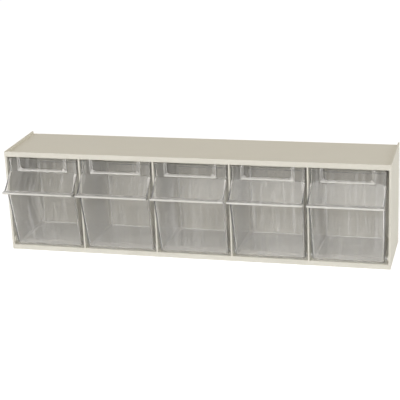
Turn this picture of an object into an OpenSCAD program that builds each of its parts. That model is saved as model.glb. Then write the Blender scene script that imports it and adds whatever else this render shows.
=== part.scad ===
// Parts bin cabinet: a wide, shallow moulded housing with five clear bins that tip
// forward on round stubs near their lower front edge.
// Millimetres. +Z up, the bins face -Y. The origin is the bottom centre of the whole cabinet.
// Depths (y) and heights (z) below are measured from the housing's front edges and its underside.

/* [Housing] */
// Width over the end walls
housing_w = 600; // [560:5:640]
// Depth from the front edges to the back face
housing_d = 118; // [117:1:130]
// Thickness of an end wall
end_wall = 3.2; // [2.6:0.1:3.6]
// How much roomier each end bay is, beside its end wall
end_room = 1.6; // [0.2:0.1:2.4]
// Thickness of a divider between two bays
divider_t = 2.4; // [2:0.1:3]
// Thickness of the top and the floor panel
panel_t = 2.8; // [2:0.1:3]
// Thickness of the back panel
back_t = 3; // [2:0.1:4]
// Height of the floor's upper face above the table
floor_z = 7; // [6.5:0.1:8]
// Height of the ceiling over the bays
ceiling_z = 155.4; // [155.4:0.1:156]
// Height that the side rails and the front rail stand above the top panel
rail_rise = 3.8; // [2:0.1:6]
// Thickness of the two side rails on the top
side_rail_t = 2.2; // [1.8:0.1:2.6]
// Thickness of the front rails, front to back
front_rail_t = 3; // [2:0.1:4]
// Height of the top front rail
top_rail_h = 8.1; // [8:0.1:9]
// Height of the bottom front rail
bottom_rail_h = 7.5; // [7:0.1:8]

/* [Bins] */
// Wall thickness of a bin
bin_wall = 2; // [1.6:0.1:2.4]
// Gap between the finger lips of two neighbouring bins
lip_gap = 4.6; // [3.5:0.1:7]
// How far each side of a bin draws in from the lip to the back
bin_narrowing = 5.6; // [3:0.1:7]
// Draft of a bin's sides, in degrees: they draw in towards the floor
side_draft = 0.9; // [0.5:0.1:1.2]
// Depth at which a bin's back face lies
bin_back = 105.7; // [100:0.1:107]
// Lean of the lower front panel from upright, in degrees
front_lean = 12; // [10:0.5:14]
// Reach of the finger lip in front of the housing
lip_reach = 35; // [33:0.5:38]
// Height of the top of the finger lip
lip_z = 106.9; // [106:0.1:107.2]
// Thickness of the finger lip at its edge
lip_edge = 3; // [2:0.1:3.4]
// Height at which the lip runs back into the lower panel
lip_root_z = 99.5; // [97:0.5:101]
// Radius of the rounded edges at the back and the heel
corner_r = 4; // [3:0.5:6]
// Radius of the lip's ends, seen from above
lip_r = 3; // [1:0.5:5]

/* [Label frame] */
// Width over the label frame
frame_w = 81; // [60:1:90]
// Width of the label window
window_w = 71; // [50:1:75]
// Height of the label frame's lower edge
frame_z0 = 132.9; // [132.4:0.1:134]
// Height of the label window's lower edge
window_z0 = 137.2; // [136:0.1:140]
// Radius of the window's lower corners
window_r = 5; // [3:0.5:8]
// Gap for the card behind the frame's face
card_gap = 1.1; // [0.8:0.1:1.2]

/* [Pivots] */
// Radius of a bin's pivot stub
stub_r = 2.5; // [2:0.1:3]
// Radial play of a stub in its hole
stub_play = 0.08; // [0.05:0.01:0.1]
// Radius of the boss round the hole in an end wall
boss_r = 5; // [4:0.5:6]
// Depth of the pivot line behind the housing's front
pivot_y = 7.6; // [7.4:0.1:8]
// Radius of the rolled edge under the front of a bin
rolled_r = 7.5; // [7:0.1:7.8]

/* [Wall fixing] */
// Distance between the two screw holes in the back panel
screw_spacing = 406.4; // [400:0.1:410]
// Radius of a screw hole
screw_r = 2.5; // [2:0.1:3]
// Height of the screw holes
screw_z = 128; // [120:1:135]

/* [Hidden] */
$fn = 64;
bay_count = 5;
eps = 0.01;

// Housing
top_z = ceiling_z + panel_t;             // upper face of the top panel
housing_h = top_z + rail_rise;
top_rail_z = housing_h - top_rail_h;     // lower edge of the top front rail
inner_w = housing_w - 2 * end_wall;
bay_pitch = (inner_w - 2 * end_room + divider_t) / bay_count;
bay_w = bay_pitch - divider_t;
back_y = housing_d - back_t;             // front face of the back panel
front_y = (lip_reach - housing_d) / 2;   // where the housing's front lies in the cabinet's frame

// Bin, seen from above
bin_half_front = (bay_pitch - lip_gap) / 2;
side_taper = atan(bin_narrowing / (lip_reach + bin_back));

// Bin, seen from the side as [y, z]
rest_gap = 0.3;                          // air under a closed bin
pivot = [pivot_y, floor_z + rest_gap + rolled_r];
bin_floor = pivot[1] - rolled_r;
lean_out = [-cos(front_lean), -sin(front_lean)];      // square to the lower panel, outwards
lean_up = [-sin(front_lean), cos(front_lean)];        // up along the lower panel
slope_foot = [-27, 107.5];               // where the upper slope meets the lip
bend = [-4.2, 131.5];                    // top of the upper slope
strip_y = -2.2;                          // front face of the label strip
strip_z0 = bend[1] + 0.8;
strip_z1 = top_rail_z - 1.6;             // top edge of the label strip
slope_up = unit(bend - slope_foot);
slope_in = [slope_up[1], -slope_up[0]];  // square to the upper slope, into the bin
lip_under = [-lip_reach, lip_z - lip_edge];           // lower edge of the lip
lip_root = on_front(lip_root_z);                      // where the lip meets the lower panel
under_back = unit(lip_root - lip_under);              // back along the lip's underside
under_in = [-under_back[1], under_back[0]];           // square to the underside, into the bin
sweep_r = norm([front_rail_t, top_rail_z] - pivot) - 0.5;  // passes under the top front rail
stop_r = sweep_r + 1.2;                  // catches behind it
frame_y = -4.5;                          // front face of the label frame
frame_z1 = top_rail_z + 0.7;             // upper ends of the label frame
frame_rib = 2;                           // width of the frame's outer rib, which joins the strip

// Pivot
hole_r = stub_r + stub_play;
hole_depth = divider_t / 2;              // the stubs of two neighbours share a divider's hole
tip_gap = 0.2;                           // air past a stub's end

ivory = [0.86, 0.84, 0.77];
clear = [0.80, 0.81, 0.80, 0.45];

function unit(v) = v / norm(v);
function cross2(a, b) = a[0] * b[1] - a[1] * b[0];
// Where the line through p along d meets the line through q along e
function meet(p, d, q, e) = p + d * cross2(q - p, e) / cross2(d, e);
// Centre of bay i, counted from 1 at the left
function bay_x(i) = (i - (bay_count + 1) / 2) * bay_pitch;
// Half the width of a bin at the lip's height, at depth y
function bin_half(y) = bin_half_front - (y + lip_reach) * tan(side_taper);
// Half the width of a bin at depth y and height z
function bin_half_at(y, z) = bin_half(y) - (lip_z - z) * tan(side_draft);
// The point at height z on the outer face of the lower front panel
function on_front(z) =
    let(foot = pivot + rolled_r * lean_out) foot + lean_up * (z - foot[1]) / lean_up[1];
// Points on a round stretch of radius r about c, from angle a0 to a1 in n steps
function arc(c, r, a0, a1, n) =
    [for (k = [0:n]) let(a = a0 + (a1 - a0) * k / n) c + r * [cos(a), sin(a)]];
// The same points in reverse order on the other side of the middle line
function mirrored(points) =
    [for (k = [len(points) - 1:-1:0]) [-points[k][0], points[k][1]]];
// The point at depth y on a circle of radius r about the pivot, above it
function on_sweep(r, y) = [y, pivot[1] + sqrt(r * r - (y - pivot[0]) * (y - pivot[0]))];
// The angle of that point about the pivot
function sweep_angle(y) = acos((y - pivot[0]) / sweep_r);
// Centre of an upright corner of radius r in a bin's right side, at depth y
function corner_at(y, r) = [bin_half(y) - r / cos(side_taper), y];

// ---- Helpers ----

// A box between two opposite corners
module block(low, high) translate(low) cube(high - low);

// From the housing's front to the cabinet's own frame
module placed() translate([0, front_y, 0]) children();

// A side outline, drawn as [y, z], made solid from x0 to x1
module across(x0, x1)
    translate([x0, 0, 0]) rotate([90, 0, 90]) linear_extrude(x1 - x0) children();

// A child on the right of the middle line, and its mirror image on the left
module both_sides() {
    children();
    mirror([1, 0, 0]) children();
}

// A round rod on the pivot line, from x0 to x1
module pivot_rod(x0, x1, radius)
    translate([x0, pivot[0], pivot[1]]) rotate([0, 90, 0]) cylinder(h = x1 - x0, r = radius);

// ---- Housing ----

// The right end wall, with its side rail. A boss on its inner face holds the pivot hole.
module right_end_wall() {
    inner = housing_w / 2 - end_wall;
    boss_x = inner - end_room;
    color(ivory) placed() difference() {
        union() {
            block([inner, 0, 0], [housing_w / 2, housing_d, top_z]);
            block([housing_w / 2 - side_rail_t, 0, 0], [housing_w / 2, housing_d, housing_h]);
            pivot_rod(boss_x, inner + end_wall / 2, boss_r);
        }
        pivot_rod(boss_x - 1, boss_x + hole_depth, hole_r);
    }
}

module housing_right_end() right_end_wall();

module housing_left_end() mirror([1, 0, 0]) right_end_wall();

// The top panel lies between the side rails and is open at the back
module housing_top() color(ivory) placed() {
    block([-inner_w / 2, front_rail_t, ceiling_z], [inner_w / 2, housing_d, top_z]);
}

module housing_floor() color(ivory) placed() {
    block([-inner_w / 2, front_rail_t, floor_z - panel_t], [inner_w / 2, back_y, floor_z]);
}

module housing_back() color(ivory) placed() difference() {
    block([-inner_w / 2, back_y, floor_z - panel_t], [inner_w / 2, housing_d, ceiling_z]);
    both_sides() translate([screw_spacing / 2, back_y - 1, screw_z])
        rotate([-90, 0, 0]) cylinder(h = back_t + 2, r = screw_r);
}

// The top front rail stands above the top panel and hangs a little below it
module housing_top_rail() color(ivory) placed() {
    block([-inner_w / 2, 0, top_rail_z], [inner_w / 2, front_rail_t, top_z]);
    half = housing_w / 2 - side_rail_t;
    block([-half, 0, top_z], [half, front_rail_t, housing_h]);
}

module housing_bottom_rail() color(ivory) placed() {
    block([-inner_w / 2, 0, 0], [inner_w / 2, front_rail_t, bottom_rail_h]);
}

// Divider i stands between bays i and i + 1. A hole through it takes a stub from either side.
module divider(i) color(ivory) placed() translate([bay_x(i + 0.5), 0, 0]) difference() {
    across(-divider_t / 2, divider_t / 2) polygon([
        [0, bottom_rail_h], [front_rail_t, bottom_rail_h], [front_rail_t, floor_z],
        [back_y, floor_z], [back_y, ceiling_z], [front_rail_t, ceiling_z],
        [front_rail_t, top_rail_z], [0, top_rail_z]]);
    pivot_rod(-divider_t, divider_t, hole_r);
}

module housing_divider_1() divider(1);
module housing_divider_2() divider(2);
module housing_divider_3() divider(3);
module housing_divider_4() divider(4);

// ---- Bins ----

// A bin's side outline. The outer one has inset 0, and its hollow has the wall as inset.
module bin_side(inset) {
    back = bin_back - inset;
    heel = [bin_back - corner_r, bin_floor + corner_r];
    strip = strip_y + inset;
    foot = pivot + (rolled_r - inset) * lean_out;
    slope_base = slope_foot + inset * slope_in;
    under = lip_under + inset * under_in;
    front = inset == 0
        ? [[strip, strip_z1], [strip, strip_z0], bend, slope_foot,
           [-lip_reach, lip_z], lip_under, lip_root]
        : [[strip, strip_z1 + 10],
           meet(slope_base, slope_up, [strip, 0], [0, 1]),
           meet(under, under_back, slope_base, slope_up),
           meet(under, under_back, foot, lean_up)];
    polygon(concat(
        arc(pivot, rolled_r - inset, 180 + front_lean, 270, 6),
        arc(heel, corner_r - inset, 270, 360, 5),
        inset == 0 ? bin_top : [[back, strip_z1 + 10]],
        front));
}

// The top of a bin's sides: a quarter round about the pivot that passes under the top front
// rail, with a bead along the back edge that catches behind the rail
bin_top = concat(
    [on_sweep(stop_r, bin_back), on_sweep(stop_r, bin_back - bin_wall)],
    arc(pivot, sweep_r, sweep_angle(bin_back - bin_wall), asin((strip_z1 - pivot[1]) / sweep_r), 10));

// The right side of a bin seen from above, narrowing towards the back, and everything that
// lies to its left
module bin_plan(inset) {
    far = -2 * bin_half_front;
    front = inset == 0 ? -lip_reach : -lip_reach - 1;
    back_c = corner_at(bin_back - corner_r, corner_r);
    lip_c = corner_at(lip_r - lip_reach, lip_r);
    polygon(concat(
        [[far, bin_back - inset], [far, front]],
        inset == 0
            ? arc(lip_c, lip_r, -90, side_taper, 5)
            : [[bin_half(front) - inset / cos(side_taper), front]],
        arc(back_c, corner_r - inset, side_taper, 90, 5)));
}

// That outline as an upright block, leaning outwards by the draft from the lip's height
module drafted(inset) {
    margin = 20;
    translate([bin_half_front, 0, lip_z]) rotate([0, side_draft, 0])
        translate([-bin_half_front, 0, -lip_z - margin])
            linear_extrude(strip_z1 + 2 * margin) bin_plan(inset);
}

// A bin's outer form, or with the wall as inset its hollow
module bin_form(inset) intersection() {
    across(-bay_w / 2, bay_w / 2) bin_side(inset);
    drafted(inset);
    mirror([1, 0, 0]) drafted(inset);
}

// The tub: a form with walls of even thickness
module bin_tub() difference() {
    bin_form(0);
    bin_form(bin_wall);
}

// A raised U on the label strip. A card slides down behind its face.
module label_frame() {
    face_t = strip_y - card_gap - frame_y;
    difference() {
        block([-frame_w / 2, frame_y, frame_z0], [frame_w / 2, strip_y + eps, frame_z1]);
        block([-frame_w / 2 + frame_rib, frame_y + face_t, frame_z0 + frame_rib],
              [frame_w / 2 - frame_rib, strip_y + 1, frame_z1 + 1]);
        translate([0, frame_y - 1, 0]) rotate([90, 0, 0]) mirror([0, 0, 1])
            linear_extrude(face_t + 2) window_outline();
    }
}

// The label window, open at the top
module window_outline() {
    corner = [window_w / 2 - window_r, window_z0 + window_r];
    half = concat(arc(corner, window_r, -90, 0, 6), [[window_w / 2, frame_z1 + 1]]);
    polygon(concat(half, mirrored(half)));
}

// Round stubs that turn in the holes in the walls of the bay
module pivot_stubs() {
    root = bin_half_at(pivot_y, pivot[1]) - bin_wall / 2;
    both_sides() pivot_rod(root, bay_w / 2 + hole_depth - tip_gap, stub_r);
}

module bin(i) color(clear) placed() translate([bay_x(i), 0, 0]) {
    bin_tub();
    label_frame();
    pivot_stubs();
}

module bin_1() bin(1);
module bin_2() bin(2);
module bin_3() bin(3);
module bin_4() bin(4);
module bin_5() bin(5);

housing_left_end();
housing_right_end();
housing_top();
housing_floor();
housing_back();
housing_top_rail();
housing_bottom_rail();
housing_divider_1();
housing_divider_2();
housing_divider_3();
housing_divider_4();
bin_1();
bin_2();
bin_3();
bin_4();
bin_5();
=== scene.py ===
"""Parts bin cabinet: an ivory moulded housing with five clear tip-out bins.

Metres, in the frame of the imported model: +X to the right, the bins face -Y, +Z up.
Sizes written in millimetres are multiplied by MM where they are used.
"""

import math

import bmesh
import bpy
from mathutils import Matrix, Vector


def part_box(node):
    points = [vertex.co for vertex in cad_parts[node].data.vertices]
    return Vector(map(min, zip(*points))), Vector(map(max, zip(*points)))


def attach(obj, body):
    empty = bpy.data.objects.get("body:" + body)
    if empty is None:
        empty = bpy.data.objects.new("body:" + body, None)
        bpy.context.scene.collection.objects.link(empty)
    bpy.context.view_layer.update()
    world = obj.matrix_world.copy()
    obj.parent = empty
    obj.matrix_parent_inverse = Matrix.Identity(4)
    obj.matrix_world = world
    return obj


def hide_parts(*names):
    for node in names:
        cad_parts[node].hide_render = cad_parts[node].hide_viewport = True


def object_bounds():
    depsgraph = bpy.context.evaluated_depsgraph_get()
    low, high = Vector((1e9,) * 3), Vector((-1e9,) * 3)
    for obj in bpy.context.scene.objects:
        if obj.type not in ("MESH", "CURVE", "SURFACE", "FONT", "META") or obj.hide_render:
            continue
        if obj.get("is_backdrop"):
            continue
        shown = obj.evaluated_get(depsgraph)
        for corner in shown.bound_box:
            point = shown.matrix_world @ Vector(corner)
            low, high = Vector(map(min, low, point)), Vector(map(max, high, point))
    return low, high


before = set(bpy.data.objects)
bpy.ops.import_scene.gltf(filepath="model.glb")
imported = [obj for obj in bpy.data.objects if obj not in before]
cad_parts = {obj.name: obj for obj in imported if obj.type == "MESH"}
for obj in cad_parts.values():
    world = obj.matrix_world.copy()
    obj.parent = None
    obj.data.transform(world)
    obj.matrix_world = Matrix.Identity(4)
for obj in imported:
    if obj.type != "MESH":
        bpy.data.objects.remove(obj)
cad_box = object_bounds()

MM = 0.001
ARC_STEP = math.radians(11)  # about the turn of one step round a corner
BINS = sorted(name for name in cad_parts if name.startswith("bin_"))
HOUSING = sorted(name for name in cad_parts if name.startswith("housing_"))
FRONT_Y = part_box("housing_bottom_rail")[0].y  # the housing's front edges

# ---- Sizes of a bin, in millimetres: y from the housing's front edges, z from the table ----

WALL = 2.0
HALF_FRONT = 56.98  # half the width at the finger lip
TAPER = math.atan(5.6 / 140.7)  # the sides draw in towards the back
DRAFT = math.radians(0.9)  # and towards the floor
LIP_Y, LIP_Z, LIP_EDGE = -35.0, 106.9, 3.0
LIP_R = 1.45  # rounds the lip's edge
LIP_ROOT_Z = 99.5
FLOOR_FRONT, FLOOR_FADE = 18.0, 15.0  # where the painted highlight along the floor's edges is strongest, and the length over which it fades
SLOPE_FOOT = Vector((-27.0, 107.5))
BEND = Vector((-4.2, 131.5))
BEND_RUN = 2.5  # the length of slope over which the sides' rounding widens from the bend's
STRIP_Y, STRIP_Z0, STRIP_Z1 = -2.2, 132.3, 152.3
STRIP_RUN = 3.0  # the height of strip over which the sides' rounding reaches its full size
PIVOT = Vector((7.6, 14.8))
ROLLED_R = 7.5
BACK_Y = 105.7
HEEL_R = 4.0
LEAN = math.radians(12.0)  # of the lower front panel
SWEEP_R, STOP_R = 138.676, 139.876  # the sides' tops and the bead on the back edge
BEAD_RISE = 0.5  # the length over which the sides' tops rise to the bead
SIDE_R = 4.0  # rounded edges between the sides and the rest
APART = 0.05  # the sides' rounding at the heel is this much under the corner's, which keeps points apart
STUB_R, STUB_TIP = 2.5, 59.08
STUB_EDGE, STUB_MIDDLE = 0.5, 0.15  # rounds a stub's end, and how far in the middle of that rounding lies
RIM_CROWN = 0.35  # how far the rim's middle stands above its edges
RIM_STEPS = 24  # along the top of each side

# How strong the painted highlight on an edge is, from 0 to 1, at the start, middle and end of its rounding
DULL, SOFT = (0.0, 0.0, 0.0), (0.0, 0.6, 0.0)
SHELF, LIP_TOP, LIP_BOTTOM, LIP_ROOT = (0.0, 0.1, 0.15), (0.15, 0.7, 1.0), (1.0, 1.0, 0.5), (0.4, 0.1, 0.0)
# painted highlights at the foot and along the floor's edges near the front
FOOT, FLOOR_EDGE_PAINTED_GLINT = (0.1, 0.15, 0.3), (0.3, 0.3, 0.3)
# painted highlight along the rims' crown, and faintly onto the sides' flat faces
RIM_PAINTED_GLINT, FLAT_SIDE_PAINTED_GLINT = 0.6, 0.05

FRAME_HALF, WINDOW_HALF, FRAME_RIB = 40.5, 35.5, 2.0
FRAME_Y, FRAME_FACE = -4.5, 1.2
FRAME_Z0, WINDOW_Z0, FRAME_Z1 = 132.9, 137.2, 154.6
WINDOW_R, FRAME_R = 5.0, 0.8
FRAME_INSET, BAR_LINE = 0.8, 1.9  # how far lines on the frame's face run from its edges, and up its lower bar
FRAME_SOFT = 0.3  # rounds the frame's edges
SUNK = 0.4  # how far a joined piece reaches into the wall that carries it
PROUD = 0.1  # a point this far outside the tub's walls is on a joined piece

# The bands of the label frame's face that carry painted highlights, and how strong
BAR_BAND, SIDE_BAND, RIM_BAND, WINDOW_BAND = 2.2, 1.2, 0.5, 0.4
BAR_PAINTED_GLINT, OUTER_PAINTED_GLINT, INNER_PAINTED_GLINT, WINDOW_PAINTED_GLINT, FACE_PAINTED_GLINT = 0.8, 0.7, 0.3, 0.5, 0.1


# ---- Helpers ----


def crossing(p, d, q, e):
    """Where the line through p along d meets the line through q along e."""
    return p + d * ((q - p).cross(e) / d.cross(e))


def rounded(corners):
    """Rounds an open outline of (y, z, corner radius, side radius, painted highlight, painted highlight at
    the sides), as a list of (point, left normal, side radius, painted highlight, painted highlight at the
    sides)."""
    outline = []
    places = [Vector(c[:2]) for c in corners]
    for i, (here, (_, _, radius, edge, painted_glint, side_painted_glint)) in enumerate(zip(places, corners)):
        before = places[i] - places[i - 1] if i else places[1] - places[0]
        after = places[i + 1] - places[i] if i + 1 < len(places) else before
        before, after = before.normalized(), after.normalized()
        turn = math.atan2(before.cross(after), before.dot(after))
        if radius == 0 or abs(turn) < 1e-6:
            outline.append((here, Vector((-before.y, before.x)), edge, painted_glint[0], side_painted_glint))
            continue
        side = math.copysign(1.0, turn)
        start = here - before * radius * math.tan(abs(turn) / 2)
        centre = start + Vector((-before.y, before.x)) * radius * side
        steps = max(2, round(abs(turn) / ARC_STEP))
        for k in range(steps + 1):
            angle = math.atan2(before.y, before.x) + turn * k / steps
            left = Vector((-math.sin(angle), math.cos(angle)))
            # the painted highlight blends from its start to its middle to its end along the arc
            half, share = divmod(min(2.0 * k / steps, 1.9999), 1.0)  # the last step stays in the second half
            painted_shine = painted_glint[int(half)] * (1 - share) + painted_glint[int(half) + 1] * share
            outline.append((centre - left * radius * side, left, edge, painted_shine, side_painted_glint))
    return outline


def new_mesh():
    """A bmesh whose points carry the strength of the painted highlight on the edge there, and a function that
    adds a point.
    """
    bm = bmesh.new()
    layer = bm.verts.layers.float.new("painted_glint")

    def point(place, painted_glint=0.0):
        vert = bm.verts.new(place)
        vert[layer] = painted_glint
        return vert

    return bm, point


def new_object(name, bm):
    """An object from a bmesh in millimetres, with welded points and faces turned outwards."""
    bmesh.ops.remove_doubles(bm, verts=bm.verts, dist=1e-4)
    bmesh.ops.dissolve_degenerate(bm, edges=bm.edges, dist=1e-5)
    bmesh.ops.recalc_face_normals(bm, faces=bm.faces)
    bmesh.ops.scale(bm, vec=(MM, MM, MM), verts=bm.verts)
    mesh = bpy.data.meshes.new(name)
    bm.to_mesh(mesh)
    bm.free()
    obj = bpy.data.objects.new(name, mesh)
    bpy.context.scene.collection.objects.link(obj)
    return obj


def applied(obj):
    """Puts the result of an object's modifiers in its mesh."""
    graph = bpy.context.evaluated_depsgraph_get()
    graph.update()
    mesh = bpy.data.meshes.new_from_object(obj.evaluated_get(graph), depsgraph=graph)
    obj.modifiers.clear()
    old, obj.data = obj.data, mesh
    bpy.data.meshes.remove(old)
    mesh.name = obj.name
    return obj


def merged(obj, others, keep=False):
    """Joins closed meshes to obj as one skin."""
    for other in others:
        cut = obj.modifiers.new("join", "BOOLEAN")
        cut.operation, cut.solver, cut.object = "UNION", "EXACT", other
    applied(obj)
    if not keep:
        for other in others:
            bpy.data.objects.remove(other)
    return obj


def rounded_edges(obj, width, segments=2, angle=35):
    """Rounds the edges sharper than an angle, by a width in metres."""
    bevel = obj.modifiers.new("round", "BEVEL")
    bevel.width, bevel.segments = width, segments
    bevel.limit_method, bevel.angle_limit = "ANGLE", math.radians(angle)
    bevel.use_clamp_overlap, bevel.miter_outer = True, "MITER_ARC"
    return applied(obj)


def smooth_shaded(obj, angle=32):
    """Smooth shading that keeps edges over an angle sharp and flat faces flat."""
    bm = bmesh.new()
    bm.from_mesh(obj.data)
    for face in bm.faces:
        face.smooth = True
    for edge in bm.edges:
        edge.smooth = len(edge.link_faces) == 2 and edge.calc_face_angle() < math.radians(angle)
    bm.to_mesh(obj.data)
    bm.free()
    weighted = obj.modifiers.new("normals", "WEIGHTED_NORMAL")
    weighted.keep_sharp, weighted.weight = True, 100
    return applied(obj)


# ---- Materials ----

IVORY_DARK, IVORY_LIGHT = (0.690, 0.664, 0.577, 1), (0.720, 0.694, 0.607, 1)
# the clear plastic's own tint, and the paler, warmer tint of its painted edge highlights
CLEAR_FACE, CLEAR_PAINTED_GLINT_TINT = (0.842, 0.829, 0.804, 1), (0.905, 0.880, 0.815, 1)
CLEAR_SHADOW = (0.895, 0.892, 0.884, 1)  # what one clear face lets through of a lamp's light


def nodes_of(owner):
    """Empties a material's or world's node tree, and gives a function that links and one that adds a node."""
    owner.use_nodes = True
    tree = owner.node_tree
    tree.nodes.clear()

    def add(kind, **settings):
        node = tree.nodes.new("ShaderNode" + kind)
        for key, value in settings.items():
            if key in node.inputs:
                node.inputs[key].default_value = value
            else:
                setattr(node, key, value)
        return node

    return tree.links.new, add


def ivory_plastic():
    """Satin moulded plastic with a fine grain and a faint drift of its colour."""
    material = bpy.data.materials.new("ivory_plastic")
    link, add = nodes_of(material)
    place = add("TexCoord")
    drift = add("TexNoise", **{"Scale": 14.0, "Detail": 3.0, "Roughness": 0.55})
    shades = add("ValToRGB")
    shades.color_ramp.elements[0].position = 0.3
    shades.color_ramp.elements[0].color = IVORY_DARK
    shades.color_ramp.elements[1].position = 0.7
    shades.color_ramp.elements[1].color = IVORY_LIGHT
    grain = add("TexNoise", **{"Scale": 1900.0, "Detail": 2.0, "Roughness": 0.6})
    flow = add("TexNoise", **{"Scale": 60.0, "Detail": 1.0, "Roughness": 0.4})
    gloss = add("MapRange", **{"From Min": 0.3, "From Max": 0.7, "To Min": 0.42, "To Max": 0.52})
    fine = add("Bump", **{"Strength": 0.22, "Distance": 0.00006})
    wide = add("Bump", **{"Strength": 0.25, "Distance": 0.0003})
    skin = add("BsdfPrincipled", **{"IOR": 1.46})
    out = add("OutputMaterial")
    for node in (drift, grain, flow):
        link(place.outputs["Object"], node.inputs["Vector"])
    link(drift.outputs["Fac"], shades.inputs["Fac"])
    link(shades.outputs["Color"], skin.inputs["Base Color"])
    link(drift.outputs["Fac"], gloss.inputs["Value"])
    link(gloss.outputs["Result"], skin.inputs["Roughness"])
    link(flow.outputs["Fac"], wide.inputs["Height"])
    link(grain.outputs["Fac"], fine.inputs["Height"])
    link(wide.outputs["Normal"], fine.inputs["Normal"])
    link(fine.outputs["Normal"], skin.inputs["Normal"])
    link(skin.outputs["BSDF"], out.inputs["Surface"])
    return material


def clear_plastic():
    """Clear glossy plastic with faint waves and whitish upright streaks, partly moulding flow marks and
    partly painted highlights; its edges carry painted highlights, whitish and paler.

    Lamps shine through it to what is inside."""
    material = bpy.data.materials.new("clear_plastic")
    link, add = nodes_of(material)
    place = add("TexCoord")
    stretch = add("Mapping")
    stretch.inputs["Scale"].default_value = (1.0, 1.0, 0.35)
    waves = add("TexNoise", **{"Scale": 38.0, "Detail": 1.5, "Roughness": 0.45})
    haze = add("TexNoise", **{"Scale": 220.0, "Detail": 2.0, "Roughness": 0.6})
    gloss = add("MapRange", **{"From Min": 0.3, "From Max": 0.7, "To Min": 0.02, "To Max": 0.06})
    # upright streaks, made whitish by less transmission: partly moulding flow marks, partly painted lamp
    # reflections
    upright = add("Mapping")
    upright.inputs["Scale"].default_value = (1.0, 0.12, 0.04)
    streaks = add("TexNoise", **{"Scale": 170.0, "Detail": 2.0, "Roughness": 0.55})
    flow_marks_and_painted_streaks = add("MapRange", **{"From Min": 0.50, "From Max": 0.80, "To Min": 0.0, "To Max": 0.16})
    white = add("Math", operation="ADD")
    white.use_clamp = True
    bump = add("Bump", **{"Strength": 0.3, "Distance": 0.0006})
    skin = add("BsdfPrincipled", **{"IOR": 1.59, "Transmission Weight": 1.0})
    # painted edge highlights: a paler tint and less transmission, so that edges show whitish
    edge = add("Attribute", attribute_name="painted_glint")
    tint = add("ValToRGB")
    tint.color_ramp.elements[0].color = CLEAR_FACE
    tint.color_ramp.elements[1].color = CLEAR_PAINTED_GLINT_TINT
    clear = add("MapRange", **{"From Min": 0.0, "From Max": 1.0, "To Min": 1.0, "To Max": 0.25})
    path = add("LightPath")
    through = add("BsdfTransparent")
    through.inputs["Color"].default_value = CLEAR_SHADOW
    mix = add("MixShader")
    out = add("OutputMaterial")
    link(place.outputs["Object"], stretch.inputs["Vector"])
    link(stretch.outputs["Vector"], waves.inputs["Vector"])
    link(place.outputs["Object"], haze.inputs["Vector"])
    link(haze.outputs["Fac"], gloss.inputs["Value"])
    link(gloss.outputs["Result"], skin.inputs["Roughness"])
    link(waves.outputs["Fac"], bump.inputs["Height"])
    link(bump.outputs["Normal"], skin.inputs["Normal"])
    link(place.outputs["Object"], upright.inputs["Vector"])
    link(upright.outputs["Vector"], streaks.inputs["Vector"])
    link(streaks.outputs["Fac"], flow_marks_and_painted_streaks.inputs["Value"])
    link(edge.outputs["Fac"], tint.inputs["Fac"])
    link(tint.outputs["Color"], skin.inputs["Base Color"])
    # painted edge highlights and the streaks together lower the transmission
    link(edge.outputs["Fac"], white.inputs[0])
    link(flow_marks_and_painted_streaks.outputs["Result"], white.inputs[1])
    link(white.outputs[0], clear.inputs["Value"])
    link(clear.outputs["Result"], skin.inputs["Transmission Weight"])
    link(path.outputs["Is Shadow Ray"], mix.inputs["Fac"])
    link(skin.outputs["BSDF"], mix.inputs[1])
    link(through.outputs["BSDF"], mix.inputs[2])
    link(mix.outputs["Shader"], out.inputs["Surface"])
    return material


# ---- Housing ----

EDGE_R = 0.7  # rounds the housing's edges, in millimetres


def housing(material):
    """The housing as one moulding: the CAD's walls and rails in one skin, with softened edges."""
    names = sorted(HOUSING, key=lambda name: name != "housing_back")
    shell = bpy.data.objects.new("housing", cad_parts[names[0]].data.copy())
    shell.data.materials.clear()
    bpy.context.scene.collection.objects.link(shell)
    merged(shell, [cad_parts[name] for name in names[1:]], keep=True)
    bm = bmesh.new()
    bm.from_mesh(shell.data)
    bmesh.ops.remove_doubles(bm, verts=bm.verts, dist=1e-6)
    bmesh.ops.dissolve_limit(bm, angle_limit=math.radians(0.5), verts=bm.verts, edges=bm.edges)
    bm.to_mesh(shell.data)
    bm.free()
    rounded_edges(shell, EDGE_R * MM)
    smooth_shaded(shell)
    shell.data.materials.clear()
    shell.data.materials.append(material)
    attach(shell, "housing")
    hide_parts(*HOUSING)


# ---- Bins ----


def half_width(y, z):
    """Half the outer width of a bin at depth y and height z."""
    return HALF_FRONT - (y - LIP_Y) * math.tan(TAPER) - (LIP_Z - z) * math.tan(DRAFT)


def top_z(y):
    """Height of a bin's rim at depth y: level, then round about the pivot, then up to the bead."""
    bead = min(max((y - (BACK_Y - WALL - BEAD_RISE)) / BEAD_RISE, 0.0), 1.0)
    radius = SWEEP_R + (STOP_R - SWEEP_R) * bead
    return min(STRIP_Z1, PIVOT.y + math.sqrt(radius**2 - (y - PIVOT.x) ** 2))


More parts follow.
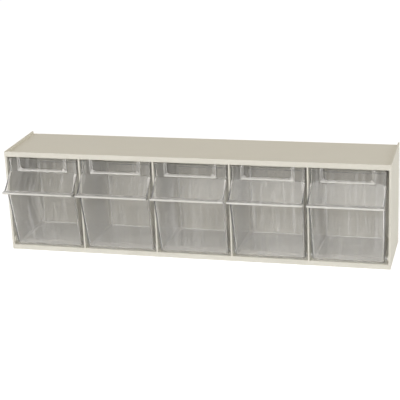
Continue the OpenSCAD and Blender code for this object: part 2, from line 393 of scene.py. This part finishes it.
def side_outlines():
    """The outer and the inner outline of a bin, from the label strip's top round to the top of the back.

    Each corner is (y, z, corner radius, side radius, painted highlight, painted highlight at the sides), as
    rounded() takes it.
    The ends' heights only say which way is up: skin_rows() puts both ends at the rim."""
    down = Vector((math.sin(LEAN), -math.cos(LEAN)))
    outwards = Vector((-math.cos(LEAN), -math.sin(LEAN)))
    across = Vector((1.0, 0.0))
    floor = PIVOT.y - ROLLED_R
    foot = crossing(PIVOT + outwards * ROLLED_R, down, Vector((0.0, floor)), across)
    root = crossing(foot, down, Vector((0.0, LIP_ROOT_Z)), across)
    slope = (BEND - SLOPE_FOOT).normalized()
    lip_under = Vector((LIP_Y, LIP_Z - LIP_EDGE))
    under = (root - lip_under).normalized()
    near_bend = BEND - slope * BEND_RUN
    # the last two numbers of each corner are painted highlights: the white lip line, dots at the bend, lines
    # along the edges
    outer = [
        (STRIP_Y, STRIP_Z1, 0, SIDE_R, DULL, 0.1),
        (STRIP_Y, STRIP_Z0 + STRIP_RUN, 0, SIDE_R, DULL, 0.1),
        (STRIP_Y, STRIP_Z0, 0.8, 3.6, DULL, 0.2),
        (BEND.x, BEND.y, 1.2, 3.2, SOFT, 0.7),
        (near_bend.x, near_bend.y, 0, 4.6, DULL, 0.7),
        (SLOPE_FOOT.x, SLOPE_FOOT.y, 3.0, 1.6, SHELF, 0.1),
        (LIP_Y, LIP_Z, LIP_R, 1.1, LIP_TOP, 0.5),
        (lip_under.x, lip_under.y, LIP_R, 1.1, LIP_BOTTOM, 0.5),
        (root.x, root.y, 3.0, 2.4, LIP_ROOT, 0.2),
        (foot.x, foot.y, ROLLED_R, 3.0, FOOT, 0.2),
        (FLOOR_FRONT, floor, 0, SIDE_R, FLOOR_EDGE_PAINTED_GLINT, 0.6),
        (FLOOR_FRONT + FLOOR_FADE, floor, 0, SIDE_R, DULL, 0.3),
        (BACK_Y, floor, HEEL_R, SIDE_R - APART, SOFT, 0.4),
        (BACK_Y, STRIP_Z1, 0, SIDE_R, DULL, 0.5),
    ]
    slope_base = SLOPE_FOOT + Vector((slope.y, -slope.x)) * WALL
    under_base = lip_under + Vector((-under.y, under.x)) * WALL
    wall_foot = foot - outwards * WALL
    level = Vector((0.0, floor + WALL))
    strip = Vector((STRIP_Y + WALL, 0.0))
    shoulder = crossing(slope_base, slope, strip, Vector((0.0, 1.0)))
    nose = crossing(slope_base, slope, under_base, under)
    throat = crossing(under_base, under, wall_foot, down)
    toe = crossing(wall_foot, down, level, across)
    inner_r = SIDE_R - WALL
    inner = [
        (strip.x, STRIP_Z1, 0, inner_r, DULL, 0.0),
        (shoulder.x, shoulder.y, 2.0, inner_r, DULL, 0.1),
        (nose.x, nose.y, 1.2, 1.0, DULL, 0.0),
        (throat.x, throat.y, 5.0, inner_r, DULL, 0.0),
        (toe.x, toe.y, ROLLED_R - WALL, inner_r, FOOT, 0.0),
        (FLOOR_FRONT, level.y, 0, inner_r, FLOOR_EDGE_PAINTED_GLINT, 0.6),
        (FLOOR_FRONT + FLOOR_FADE, level.y, 0, inner_r, DULL, 0.3),
        (BACK_Y - WALL, level.y, inner_r + APART, inner_r, SOFT, 0.4),
        (BACK_Y - WALL, STRIP_Z1, 0, inner_r, DULL, 0.5),
    ]
    return rounded(outer), rounded(inner)


def skin_rows(bm, point, outline, inset):
    """Rows of points across a bin, one for each point of an outline, with rounded ends at both sides.

    The first and the last row are at the rim."""
    steps = 6
    rows = []
    last = len(outline) - 1
    for i, (middle, left, edge, painted_glint, side_painted_glint) in enumerate(outline):
        half = []
        for k in range(steps + 1):
            angle = math.pi / 2 * k / steps
            place = middle + left * edge * (1 - math.cos(angle))
            z = top_z(place.x) - RIM_CROWN if i in (0, last) else place.y
            x = half_width(place.x, z) - inset - edge + edge * math.sin(angle)
            # painted highlight along the rounded side edges, and faintly onto the flat sides
            on_corner = side_painted_glint * math.sin(2 * angle)
            painted_shine = max(painted_glint * math.cos(angle), on_corner, FLAT_SIDE_PAINTED_GLINT * math.sin(angle) ** 4)
            half.append((x, place.x, z, painted_shine))
        row = [(-x, *rest) for x, *rest in reversed(half)] + half
        rows.append([point((x, y, z), painted_shine) for x, y, z, painted_shine in row])
    for upper, lower in zip(rows, rows[1:]):
        for k in range(len(upper) - 1):
            bm.faces.new((upper[k], upper[k + 1], lower[k + 1], lower[k]))
    return rows


def side_rims(point, rows, inset):
    """The points along the tops of both sides, from the front to the back, left then right."""
    ends = rows[0][-1].co, rows[-1][-1].co
    depths = [ends[0].y + (ends[1].y - ends[0].y) * k / RIM_STEPS for k in range(1, RIM_STEPS)]
    rims = []
    for sign in (-1, 1):
        rim = []
        for y in depths:
            z = top_z(y) - RIM_CROWN
            rim.append(point((sign * (half_width(y, z) - inset), y, z), FLAT_SIDE_PAINTED_GLINT))
        rims.append(rim)
    return rims


def tub():
    """The shell of a bin: outer and inner skin, the sides' flat faces and a crowned rim."""
    bm, point = new_mesh()
    loops = []
    for outline, inset in zip(side_outlines(), (0.0, WALL)):
        rows = skin_rows(bm, point, outline, inset)
        left, right = side_rims(point, rows, inset)
        bm.faces.new([row[0] for row in rows] + left[::-1])
        bm.faces.new([row[-1] for row in rows] + right[::-1])
        loops.append(rows[0] + right + rows[-1][::-1] + left[::-1])
    steps = 4
    rings = [loops[0]]
    for k in range(1, steps):
        angle = math.pi * k / steps
        share = (1 - math.cos(angle)) / 2
        rise = Vector((0, 0, RIM_CROWN * math.sin(angle)))
        # the rim's crown carries a painted highlight
        rings.append([point(a.co.lerp(b.co, share) + rise, RIM_PAINTED_GLINT) for a, b in zip(*loops)])
    rings.append(loops[1])
    count = len(loops[0])
    for a, b in zip(rings, rings[1:]):
        for k in range(count):
            n = (k + 1) % count
            bm.faces.new((a[k], a[n], b[n], b[k]))
    return new_object("bin", bm)


def u_path(half, low, radius):
    """Points of a U in (x, z), from the top left down and round to the top right."""
    steps = 6
    points = [(-half, FRAME_Z1)]
    for centre_x, start in ((radius - half, 180), (half - radius, 270)):
        for k in range(steps + 1):
            angle = math.radians(start + 90 * k / steps)
            points.append((centre_x + radius * math.cos(angle), low + radius + radius * math.sin(angle)))
    return points + [(half, FRAME_Z1)]


def label_frame():
    """The raised U on the label strip: a rib on three sides with a thin face that holds a card."""
    outer = u_path(FRAME_HALF, FRAME_Z0, FRAME_R)
    near_outer = u_path(FRAME_HALF - FRAME_INSET, FRAME_Z0 + BAR_LINE, FRAME_R)
    near_window = u_path(WINDOW_HALF + FRAME_INSET, WINDOW_Z0 - FRAME_INSET, WINDOW_R + FRAME_INSET)
    rib = u_path(FRAME_HALF - FRAME_RIB, FRAME_Z0 + FRAME_RIB, WINDOW_R - FRAME_RIB)
    window = u_path(WINDOW_HALF, WINDOW_Z0, WINDOW_R)
    base, behind = STRIP_Y + SUNK, FRAME_Y + FRAME_FACE
    rings = [
        (outer, base), (outer, FRAME_Y), (near_outer, FRAME_Y), (near_window, FRAME_Y),
        (window, FRAME_Y), (window, behind), (rib, behind), (rib, base)]
    bm, point = new_mesh()
    paths = [[point((x, y, z)) for x, z in path] for path, y in rings]
    for a, b in zip(paths, paths[1:] + paths[:1]):
        for k in range(len(a) - 1):
            bm.faces.new((a[k], a[k + 1], b[k + 1], b[k]))
    bm.faces.new([path[0] for path in paths])
    bm.faces.new([path[-1] for path in paths][::-1])
    return rounded_edges(new_object("label_frame", bm), FRAME_SOFT * MM, angle=50)


def joined_painted_glint(x, y, z):
    """The painted highlight of a joined piece at a point: only the label frame's face has one, strongest on
    its bar.
    """
    in_from_side, up = FRAME_HALF - abs(x), z - FRAME_Z0
    if y > FRAME_Y + FRAME_FACE or up < -PROUD:
        return 0.0
    if up < BAR_BAND:
        return BAR_PAINTED_GLINT
    if in_from_side < SIDE_BAND:
        return OUTER_PAINTED_GLINT if in_from_side < RIM_BAND else INNER_PAINTED_GLINT
    by_window = abs(x) < WINDOW_HALF + WINDOW_BAND and z > WINDOW_Z0 - WINDOW_BAND
    return WINDOW_PAINTED_GLINT if by_window else FACE_PAINTED_GLINT


def stub(sign):
    """A round stub on one side of a bin, with a softened end."""
    root = half_width(*PIVOT) - SUNK
    rings = [
        (root, STUB_R), (STUB_TIP - STUB_EDGE, STUB_R),
        (STUB_TIP - STUB_MIDDLE, STUB_R - STUB_MIDDLE), (STUB_TIP, STUB_R - STUB_EDGE)]
    bm, point = new_mesh()
    sides = 32
    circles = []
    for x, radius in rings:
        circles.append([
            point((
                sign * x,
                PIVOT.x + radius * math.cos(math.tau * k / sides),
                PIVOT.y + radius * math.sin(math.tau * k / sides)))
            for k in range(sides)])
    for a, b in zip(circles, circles[1:]):
        for k in range(sides):
            n = (k + 1) % sides
            bm.faces.new((a[k], a[n], b[n], b[k]))
    bm.faces.new(circles[0])
    bm.faces.new(circles[-1])
    return new_object("stub", bm)


def bins(material):
    """Five bins of one shape, each in its own bay and riding on its own body."""
    pattern = merged(tub(), [label_frame(), stub(-1), stub(1)])
    # joined pieces get their own painted highlights: only the label frame's face has any
    for vert, mark in zip(pattern.data.vertices, pattern.data.attributes["painted_glint"].data):
        x, y, z = vert.co / MM
        on_frame = y < STRIP_Y - PROUD and z > FRAME_Z0 - PROUD
        if on_frame or abs(x) > half_width(y, z) + PROUD:
            mark.value = joined_painted_glint(x, y, z)
    smooth_shaded(pattern)
    for name in BINS:
        low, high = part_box(name)
        piece = bpy.data.objects.new(name + "_clear", pattern.data.copy())
        for vert in piece.data.vertices:
            vert.co += Vector(((low.x + high.x) / 2, FRONT_Y, 0.0))
        piece.data.materials.append(material)
        bpy.context.scene.collection.objects.link(piece)
        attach(piece, name)
        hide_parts(name)
    bpy.data.objects.remove(pattern)


# ---- Stage ----

# The camera that was fitted to the photograph: lens in millimetres, turn in degrees
SENSOR_WIDTH, LENS = 36.0, 108.89
CAMERA_PLACE = (0.4647, -1.7135, 0.6879)
CAMERA_TURN = (71.126, 2.344, 14.319)

MIDDLE = (0, 0, 0.08)  # about the cabinet's middle, which most lamps look at
BLUISH = (0.87, 0.90, 0.98)
OVERHEAD = Vector((0.25, -0.30, 0.92)).normalized()  # towards the brightest part of the surround
AROUND_COLOUR, OVERHEAD_COLOUR = (0.355, 0.32, 0.255, 1), (0.37, 0.30, 0.18, 1)
AROUND_SHOWN, OVERHEAD_MORE = 1.0, 1.7  # the surround's brightness in reflections, and how much more overhead


def camera():
    """The photograph's viewpoint: to the right of the cabinet, looking down a little."""
    data = bpy.data.cameras.new("camera")
    data.sensor_width, data.lens = SENSOR_WIDTH, LENS
    data.clip_start, data.clip_end = 0.05, 50.0
    obj = bpy.data.objects.new("camera", data)
    obj.location = CAMERA_PLACE
    obj.rotation_euler = [math.radians(a) for a in CAMERA_TURN]
    bpy.context.scene.collection.objects.link(obj)
    bpy.context.scene.camera = obj


def seen_rays(link, add):
    """A factor that is 1 for camera, glossy and transmitted rays."""
    path = add("LightPath")
    first = add("Math", operation="MAXIMUM")
    second = add("Math", operation="MAXIMUM")
    link(path.outputs["Is Camera Ray"], first.inputs[0])
    link(path.outputs["Is Glossy Ray"], first.inputs[1])
    link(first.outputs[0], second.inputs[0])
    link(path.outputs["Is Transmission Ray"], second.inputs[1])
    return second.outputs[0]


def floor():
    """A white table that keeps the cabinet's shadow."""
    material = bpy.data.materials.new("table")
    link, add = nodes_of(material)
    plain = add("BsdfDiffuse", Color=(0.80, 0.80, 0.80, 1))
    shadow = add("BsdfDiffuse", Color=(0.30, 0.30, 0.30, 1))
    white = add("Emission", Strength=0.90)
    both = add("AddShader")
    mix = add("MixShader")
    out = add("OutputMaterial")
    link(shadow.outputs[0], both.inputs[0])
    link(white.outputs[0], both.inputs[1])
    link(seen_rays(link, add), mix.inputs["Fac"])
    link(plain.outputs[0], mix.inputs[1])
    link(both.outputs[0], mix.inputs[2])
    link(mix.outputs[0], out.inputs["Surface"])
    bpy.ops.mesh.primitive_plane_add(size=12)
    table = bpy.context.object
    table.name = "table"
    table.data.materials.append(material)
    table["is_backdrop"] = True


def area(name, place, target, size, power, colour):
    """A soft lamp that looks at a point, with its size in metres and its power in watts."""
    data = bpy.data.lights.new(name, "AREA")
    data.shape, data.size, data.size_y = "RECTANGLE", *size
    data.energy, data.color = power, colour
    obj = bpy.data.objects.new(name, data)
    obj.location = place
    obj.rotation_euler = (Vector(target) - Vector(place)).to_track_quat("-Z", "Y").to_euler()
    bpy.context.scene.collection.objects.link(obj)
    return obj


def lights():
    """Soft lamps on all sides, most light from the front, in a surround that shines dim and warm.

    Reflections and what is seen through the clear plastic show the surround white, and brightest overhead."""
    area("front", (0.3, -2.3, 1.15), MIDDLE, (1.8, 1.2), 31.5, BLUISH)
    area("left", (-1.7, -1.7, 1.0), MIDDLE, (1.4, 1.2), 18.0, BLUISH)
    area("right", (2.2, -0.35, 0.8), (0.3, 0, 0.08), (1.4, 1.2), 13.5, (0.85, 0.90, 0.97))
    back = area("back", (0.2, 2.4, 0.6), MIDDLE, (1.8, 1.2), 11.5, (1.0, 0.95, 0.84))
    back.visible_glossy = False  # no streak on the top
    world = bpy.data.worlds.new("surround")
    bpy.context.scene.world = world
    link, add = nodes_of(world)
    place = add("TexCoord")
    facing = add("VectorMath", operation="DOT_PRODUCT")
    facing.inputs[1].default_value = OVERHEAD
    softbox = add("MapRange", **{"From Min": 0.78, "From Max": 0.98})
    softbox.interpolation_type = "SMOOTHSTEP"
    shades = add("ValToRGB")
    shades.color_ramp.elements[0].color = AROUND_COLOUR
    shades.color_ramp.elements[1].color = OVERHEAD_COLOUR
    bright = add("Math", operation="MULTIPLY_ADD")
    bright.inputs[1].default_value, bright.inputs[2].default_value = OVERHEAD_MORE, AROUND_SHOWN
    light = add("Background")
    shown = add("Background")
    white = add("Background", Strength=1.0)
    for plain in (shown, white):
        plain.inputs["Color"].default_value = (1, 1, 1, 1)
    path = add("LightPath")
    mix = add("MixShader")
    seen = add("MixShader")
    out = add("OutputWorld")
    link(place.outputs["Generated"], facing.inputs[0])
    link(facing.outputs["Value"], softbox.inputs["Value"])
    link(softbox.outputs["Result"], shades.inputs["Fac"])
    link(softbox.outputs["Result"], bright.inputs[0])
    link(shades.outputs["Color"], light.inputs["Color"])
    link(bright.outputs[0], shown.inputs["Strength"])
    link(seen_rays(link, add), mix.inputs["Fac"])
    link(light.outputs[0], mix.inputs[1])
    link(shown.outputs[0], mix.inputs[2])
    link(path.outputs["Is Camera Ray"], seen.inputs["Fac"])
    link(mix.outputs[0], seen.inputs[1])
    link(white.outputs[0], seen.inputs[2])
    link(seen.outputs[0], out.inputs["Surface"])


camera()
housing(ivory_plastic())
bins(clear_plastic())
floor()
lights()
bpy.context.scene.view_settings.view_transform = "Standard"

boxes = {"cad": cad_box, "visual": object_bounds()}
{name: [list(corner) for corner in box] for name, box in boxes.items()}
